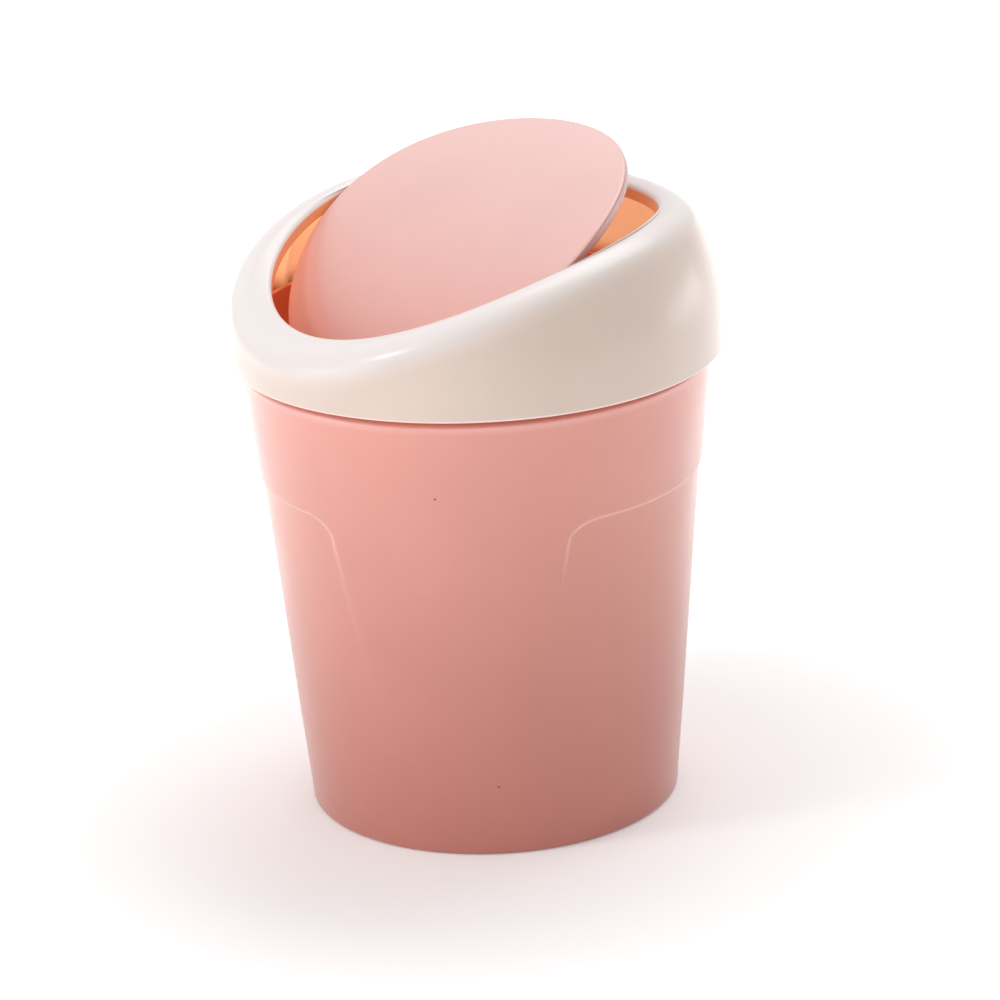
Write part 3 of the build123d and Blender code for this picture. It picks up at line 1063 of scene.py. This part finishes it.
class BIN_OT_collar(Operator):
    """Builds the collar with its sloping crest, lip, hinge tabs and stop pegs"""

    bl_idname = "bin.collar"
    bl_label = "Collar"

    def execute(self, context):
        sizes, look, hinge = context.scene.bin_collar, context.scene.bin_stage, context.scene.bin_flap

        def tint(nodes, colour_now):
            # painted highlight over the crest and along the skirt's bevel, and painted orange bounce light down
            # the lip
            crest = nodes.ramp(below_crest(nodes, sizes), 1 * MM, 11 * MM, 1.0, 0.0)
            pale = nodes.blend(crest, colour_now, look.collar_colour)
            edged = nodes.blend(bevel_highlight_mask(nodes, sizes), pale, look.collar_edge)
            return nodes.blend(lip_mask(nodes, sizes), edged, look.collar_lip)

        # painted glow along the skirt's bevel and down the mouth's lip
        def lip_glow(nodes):
            edge = nodes.blend(bevel_highlight_mask(nodes, sizes), BLACK, through(look, look.collar_edge, share=0.3))
            return nodes.blend(lip_mask(nodes, sizes), edge, through(look, look.collar_lip, share=0.5))

        # painted glow on the inner faces above the bucket's rim
        def wall_glow(nodes):
            lit = nodes.ramp(nodes.height(), RIM_HEIGHT - 2 * MM, RIM_HEIGHT + 5 * MM)
            return nodes.blend(lit, BLACK, through(look, look.collar_inside))

        def pegs(bm):
            inner, outer = hinge.ear_outer - hinge.ear_thickness / 2, sizes.mouth_radius + sizes.wall / 2
            for side in (-1, 1):
                line = peg_line(side * outer, side * inner, sizes.peg_radius)
                for y, z in stop_pegs(sizes, hinge.ear_half_width):
                    turned_along_x(bm, line, z, y, segments=32)

        heights = (SKIRT_HEIGHT, sizes.crest_centre)
        outer_wall = (look.collar_low, look.collar_low, *heights)
        # the collar's inner faces take painted orange bounce light and a painted glow
        inner_wall = (look.collar_inside, look.collar_inside, *heights)
        cream = plastic("Collar cream", *outer_wall, gloss=0.33, tint=tint, glow=lip_glow)
        warm = plastic("Collar inside", *inner_wall, gloss=0.4, glow=wall_glow)
        rings, inner = collar_rings(sizes)
        collar = solid("collar_ring", lambda bm: loft(bm, rings, second_material=inner), cream)
        collar.data.materials.append(warm)
        drilled(collar, hinge.pin_radius + sizes.pin_clearance, sizes.mouth_radius + sizes.wall + 3 * MM)
        change(collar.data, pegs)
        crisp(collar.data)
        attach(collar, "collar_body")
        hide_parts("collar")
        return {"FINISHED"}


class BIN_OT_seat_ribs(Operator):
    """Stands the seat ribs round the inside of the collar, over the bucket's rim"""

    bl_idname = "bin.seat_ribs"
    bl_label = "Seat ribs"

    def execute(self, context):
        sizes, neck = context.scene.bin_collar, context.scene.bin_bucket
        foot, toe = neck.neck_radius + sizes.neck_clearance, neck.neck_radius - sizes.rib_reach
        outside, top = sizes.bulge_radius + 2 * MM, sizes.crest_centre + 30 * MM
        outline = [
            (foot, SKIRT_HEIGHT + sizes.rib_rise),
            (foot, RIM_HEIGHT),
            (toe, RIM_HEIGHT),
            (toe, RIM_HEIGHT + 3 * MM),
            (toe - 3 * MM, RIM_HEIGHT + 12 * MM),
            (toe - 3 * MM, top),
            (outside, top),
            (outside, SKIRT_HEIGHT + sizes.rib_rise),
        ]
        half = sizes.rib_thickness / 2
        sides = [[(x, y, z) for x, z in outline] for y in (-half, half)]
        cavity = collar_cavity(sizes)
        ribs = solid("seat_ribs", lambda bm: loft(bm, sides, capped=True))
        modifier = ribs.modifiers.new("Seat ribs", "NODES")
        modifier.node_group = group("Seat ribs", seat_ribs_tree)
        values = {"count": sizes.rib_count, "start_angle": pi / sizes.rib_count, "inside": cavity}
        set_inputs(modifier, sizes, material=bpy.data.materials["Collar inside"], **values)
        crisp(applied(ribs))
        bpy.data.objects.remove(cavity)
        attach(ribs, "collar_body")
        return {"FINISHED"}


class BIN_OT_flap(Operator):
    """Builds the bowed swinging flap with its rim, ears and hinge pins"""

    bl_idname = "bin.flap"
    bl_label = "Flap"

    def execute(self, context):
        sizes, look = context.scene.bin_flap, context.scene.bin_stage
        heights = [corner[2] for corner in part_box("flap")]
        tilt = Matrix.Rotation(-CLOSED_ANGLE, 4, "X")
        upwards = tilt.to_3x3() @ Vector((0, -sizes.fall, 1)).normalized()

        def tint(nodes, colour_now):
            # painted shade down the rim's sides, and painted orange bounce light on the underside
            up = nodes.vectors("DOT_PRODUCT", nodes.here("Normal"), upwards)
            sided = nodes.blend(nodes.ramp(up, 0.15, 0.6, 1.0, 0.0), colour_now, look.flap_side)
            return nodes.blend(nodes.ramp(up, -0.6, -0.2, 1.0, 0.0), sided, look.flap_under)

        def hinge(bm):
            for side in (-1, 1):
                add_ear(bm, sizes, side)
                start = side * (sizes.ear_outer - sizes.ear_thickness / 2)
                turned_along_x(bm, peg_line(start, side * sizes.pin_reach, sizes.pin_radius), HINGE.z, 0)

        # painted shade: the pink darkens from the raised rear edge to the front edge
        pink = plastic("Flap pink", look.flap_colour, look.flap_deep, *heights, gloss=0.36, tint=tint)
        place = {"shift": context.scene.bin_collar.mouth_forward, "height": sizes.top}
        flap = spin("flap_plate", flap_profile(sizes), pink, sizes, **place)
        change(flap.data, hinge)
        crisp(flap.data)
        flap.data.transform(Matrix.Translation(HINGE) @ tilt @ Matrix.Translation(-HINGE))
        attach(flap, "flap_body")
        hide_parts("flap")
        return {"FINISHED"}


# --- studio ---


def white_rays(nodes):
    """1 for camera, glossy and transmission rays, 0 for the rest."""
    path = nodes.add("ShaderNodeLightPath").outputs
    seen = nodes.maths("MAXIMUM", path["Is Camera Ray"], path["Is Glossy Ray"])
    return nodes.maths("MAXIMUM", seen, path["Is Transmission Ray"])


def floor_material(look):
    """A matt pale floor, lifted a little to white where it is seen and keeping its shadows."""
    material, nodes, shader = new_material("Studio floor")
    away = nodes.vectors("LENGTH", nodes.here())
    near_bin = nodes.ramp(away, 0.07, 0.32, look.floor_lift, 1.0)
    lift = nodes.times(white_rays(nodes), near_bin)
    settings = {
        "Base Color": look.floor_colour,
        "Roughness": 1.0,
        "Specular IOR Level": 0.0,
        "Emission Color": nodes.add("ShaderNodeCombineColor", {0: lift, 1: lift, 2: lift}).outputs[0],
        "Emission Strength": 1.0,
    }
    nodes.feed_all(shader, settings)
    return material


def studio_world(look):
    """A soft dome that shows as white."""
    world = bpy.data.worlds.new("Studio")
    bpy.context.scene.world = world
    world.use_nodes = True
    world.node_tree.nodes.clear()
    nodes = Nodes(world.node_tree)
    dome, white = (
        nodes.add("ShaderNodeBackground", {"Color": WHITE, "Strength": strength}).outputs[0]
        for strength in (look.dome_light, 1.0)
    )
    shown = nodes.add("ShaderNodeMixShader", {0: white_rays(nodes), 1: dome, 2: white})
    nodes.add("ShaderNodeOutputWorld", {"Surface": shown.outputs[0]})


def soft_lamp(name, power, round_bin, bearing, elevation, distance, width, height, target):
    """A large soft lamp at a bearing from the camera's, aimed at the bin's middle line."""
    data = bpy.data.lights.new(name, "AREA")
    data.shape, data.size, data.size_y, data.energy = "RECTANGLE", width, height, power
    lamp = object_from(name, data)
    lamp.matrix_world = (
        Matrix.Translation((0, 0, target))
        @ Matrix.Rotation(round_bin + radians(bearing), 4, "Z")
        @ Matrix.Rotation(pi / 2 - radians(elevation), 4, "X")
        @ Matrix.Translation((0, 0, distance))
    )
    lamp.visible_camera = False


def studio_camera(look):
    """The camera, turned round the bin and aimed at the middle line."""
    data = bpy.data.cameras.new("Camera")
    data.lens, data.sensor_width = look.camera_lens, 36
    data.clip_start, data.clip_end = 0.05, 20
    camera = object_from("Camera", data)
    away = look.camera_distance * cos(look.camera_elevation)
    up = look.camera_distance * sin(look.camera_elevation)
    camera.matrix_world = (
        Matrix.Rotation(look.camera_bearing, 4, "Z")
        @ Matrix.Translation((0, -away, look.target_height + up))
        @ Matrix.Rotation(pi / 2 - look.camera_elevation, 4, "X")
        @ Matrix.Rotation(look.camera_pan, 4, "Y")
        @ Matrix.Rotation(-look.camera_tilt, 4, "X")
        @ Matrix.Rotation(look.camera_roll, 4, "Z")
    )
    bpy.context.scene.camera = camera


class BIN_OT_stage(Operator):
    """Sets the floor, the soft lamps, the dome and the camera"""

    bl_idname = "bin.stage"
    bl_label = "Stage"

    def execute(self, context):
        look = context.scene.bin_stage
        grid = {"x_segments": 8, "y_segments": 8, "size": 4}
        solid("floor", lambda bm: bmesh.ops.create_grid(bm, **grid), floor_material(look))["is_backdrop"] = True
        studio_world(look)
        for (name, power), place in LAMPS.items():
            soft_lamp(name, getattr(look, power), look.camera_bearing, *place)
        studio_camera(look)
        context.scene.view_settings.view_transform = "Standard"
        return {"FINISHED"}


# --- add-on ---------------------------------------------------------------


class BIN_PT_bin(Panel):
    """Lists the bin's pieces, its sizes and its studio"""

    bl_idname = "BIN_PT_bin"
    bl_label = "Swing-lid bin"
    bl_space_type = "VIEW_3D"
    bl_region_type = "UI"
    bl_category = "Bin"

    def draw(self, context):
        for title, operators, settings in (
            ("Bucket", ("bin.bucket",), context.scene.bin_bucket),
            ("Collar", ("bin.collar", "bin.seat_ribs"), context.scene.bin_collar),
            ("Flap", ("bin.flap",), context.scene.bin_flap),
            ("Stage", ("bin.stage",), context.scene.bin_stage),
        ):
            box = self.layout.box()
            box.label(text=title)
            for operator in operators:
                box.operator(operator)
            for name in settings.__annotations__:
                box.prop(settings, name)


GROUPS = {
    "bin_bucket": BucketSizes,
    "bin_collar": CollarSizes,
    "bin_flap": FlapSizes,
    "bin_stage": StageSettings,
}
OPERATORS = (BIN_OT_bucket, BIN_OT_collar, BIN_OT_seat_ribs, BIN_OT_flap, BIN_OT_stage)


def register():
    for name, settings in GROUPS.items():
        bpy.utils.register_class(settings)
        setattr(bpy.types.Scene, name, PointerProperty(type=settings))
    for operator in OPERATORS:
        bpy.utils.register_class(operator)
    bpy.utils.register_class(BIN_PT_bin)


def unregister():
    bpy.utils.unregister_class(BIN_PT_bin)
    for operator in reversed(OPERATORS):
        bpy.utils.unregister_class(operator)
    for name, settings in GROUPS.items():
        delattr(bpy.types.Scene, name)
        bpy.utils.unregister_class(settings)


def main():
    register()
    bpy.ops.bin.bucket()
    bpy.ops.bin.collar()
    bpy.ops.bin.seat_ribs()
    bpy.ops.bin.flap()
    bpy.ops.bin.stage()
    boxes = {"cad": CAD_BOX, "visual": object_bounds()}
    {name: [list(corner) for corner in box] for name, box in boxes.items()}


if __name__ == "__main__":
    main()
